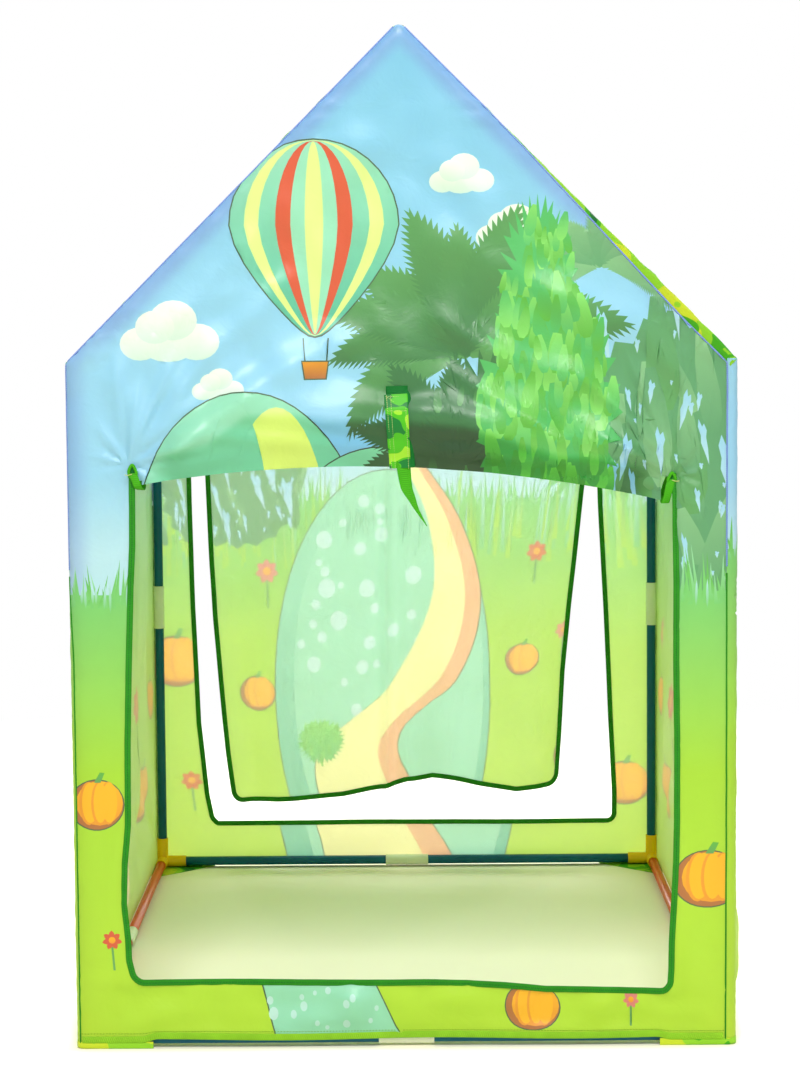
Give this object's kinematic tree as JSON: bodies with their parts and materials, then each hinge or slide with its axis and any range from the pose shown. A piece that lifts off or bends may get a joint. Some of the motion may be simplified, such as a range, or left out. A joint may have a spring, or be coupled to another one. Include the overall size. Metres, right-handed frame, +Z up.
{
  "type": "kids play tent",
  "caption": "House-shaped play tent: printed cloth cover over a push-fit plastic tube frame, with a doorway at each end, one door rolled up and one hanging.",
  "frame": {"origin": "on the ground under the middle of the tent", "axes": "+Z up, -Y the front with the rolled door, +X to the right seen from the front"},
  "size_m": [0.6904, 0.9375, 1.0611],
  "materials": {
    "blue_tube": "smooth extruded teal blue plastic",
    "orange_tube": "smooth extruded orange plastic",
    "connector": "moulded yellow plastic",
    "coupler": "moulded translucent white plastic",
    "gable_cloth": "thin woven polyester, printed",
    "wall_cloth": "thin woven polyester, printed",
    "roof_cloth": "thin woven polyester, printed",
    "door_cloth": "thin woven polyester, printed",
    "strap_cloth": "thin woven polyester, printed, doubled",
    "tie_ribbon": "green woven ribbon"
  },
  "bodies": {
    "tent": {"base_corner_front_left": "connector", "base_corner_front_right": "connector", "base_corner_rear_left": "connector", "base_corner_rear_right": "connector", "base_rail_left_coupler": "coupler", "base_rail_left_front": "orange_tube", "base_rail_left_rear": "orange_tube", "base_rail_right_coupler": "coupler", "base_rail_right_front": "orange_tube", "base_rail_right_rear": "orange_tube", "eave_corner_front_left": "connector", "eave_corner_front_right": "connector", "eave_corner_rear_left": "connector", "eave_corner_rear_right": "connector", "eave_rail_left_coupler": "coupler", "eave_rail_left_front": "orange_tube", "eave_rail_left_rear": "orange_tube", "eave_rail_right_coupler": "coupler", "eave_rail_right_front": "orange_tube", "eave_rail_right_rear": "orange_tube", "front_door_curtain": "door_cloth", "front_panel": "gable_cloth", "post_front_left_coupler": "coupler", "post_front_left_lower": "blue_tube", "post_front_left_upper": "blue_tube", "post_front_right_coupler": "coupler", "post_front_right_lower": "blue_tube", "post_front_right_upper": "blue_tube", "post_rear_left_coupler": "coupler", "post_rear_left_lower": "blue_tube", "post_rear_left_upper": "blue_tube", "post_rear_right_coupler": "coupler", "post_rear_right_lower": "blue_tube", "post_rear_right_upper": "blue_tube", "rafter_front_left": "orange_tube", "rafter_front_right": "orange_tube", "rafter_rear_left": "orange_tube", "rafter_rear_right": "orange_tube", "rear_panel": "gable_cloth", "ridge_joint_front": "connector", "ridge_joint_rear": "connector", "ridge_rail_coupler": "coupler", "ridge_rail_front": "orange_tube", "ridge_rail_rear": "orange_tube", "roof_left": "roof_cloth", "roof_right": "roof_cloth", "side_wall_left": "wall_cloth", "side_wall_right": "wall_cloth", "sill_front_coupler": "coupler", "sill_front_left": "blue_tube", "sill_front_right": "blue_tube", "sill_rear_coupler": "coupler", "sill_rear_left": "blue_tube", "sill_rear_right": "blue_tube", "tie_left": "tie_ribbon", "tie_right": "tie_ribbon"},
    "front_door": {"front_door_roll": "door_cloth"},
    "rear_door": {"rear_door_flap": "door_cloth"},
    "strap": {"middle_strap": "strap_cloth"}
  },
  "joints": [
    {"name": "front_door_let_down", "type": "slide", "parent": "tent", "child": "front_door", "axis": [0, 0, -1], "range_m": [0, 0.505], "deforming": ["front_door_curtain"]},
    {"name": "rear_door_swing", "type": "hinge", "parent": "tent", "child": "rear_door", "pos_m": [0, 0.4651, 0.5951], "axis": [1, 0, 0], "range_deg": [-85, 85]},
    {"name": "strap_lift", "type": "hinge", "parent": "tent", "child": "strap", "pos_m": [0, -0.4662, 0.682], "axis": [-1, 0, 0], "range_deg": [0, 120]}
  ]
}
